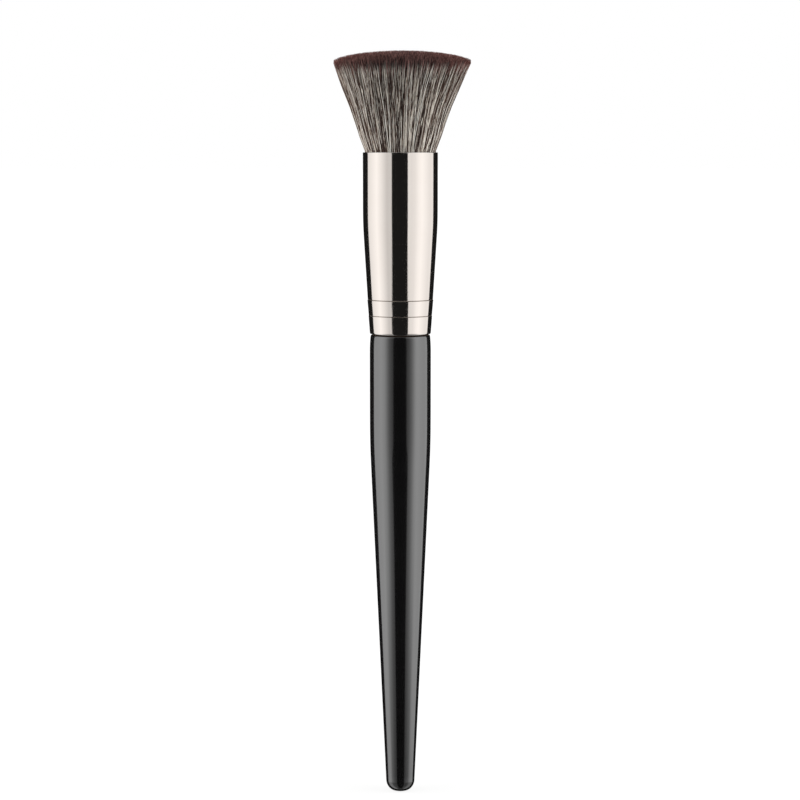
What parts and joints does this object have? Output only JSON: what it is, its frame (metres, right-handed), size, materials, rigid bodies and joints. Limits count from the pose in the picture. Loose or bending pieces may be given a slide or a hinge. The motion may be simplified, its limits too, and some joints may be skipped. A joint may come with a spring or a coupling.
{
  "type": "face brush",
  "caption": "Flat-top face brush: a flared, domed tuft of brown-grey fibre in a polished crimped ferrule on a tapered black lacquered handle.",
  "frame": {"origin": "centre of the small flat on the handle's butt end, the end away from the bristles", "axes": "+Z along the brush from the butt end to the bristle tips; X and Y are square to it, and the brush is round about Z"},
  "size_m": [0.0316, 0.0317, 0.175],
  "materials": {
    "black_lacquer": "turned hardwood under deep gloss black lacquer",
    "polished_ferrule": "polished, plated in a warm champagne nickel",
    "fibre": "fine synthetic fibre, mixed light and dark grey-brown with dark brown tips",
    "packed_fibre": "fibre roots packed tight and soaked with resin",
    "thread": "waxed cotton thread",
    "resin": "cured clear amber epoxy",
    "wood_glue": "cured cream adhesive"
  },
  "bodies": {
    "root": {"handle": "black_lacquer", "ferrule": "polished_ferrule", "bristle_tuft": "fibre", "packed_roots": "packed_fibre", "tie_thread": "thread", "epoxy_plug": "resin", "tenon_glue": "wood_glue"}
  },
  "joints": []
}
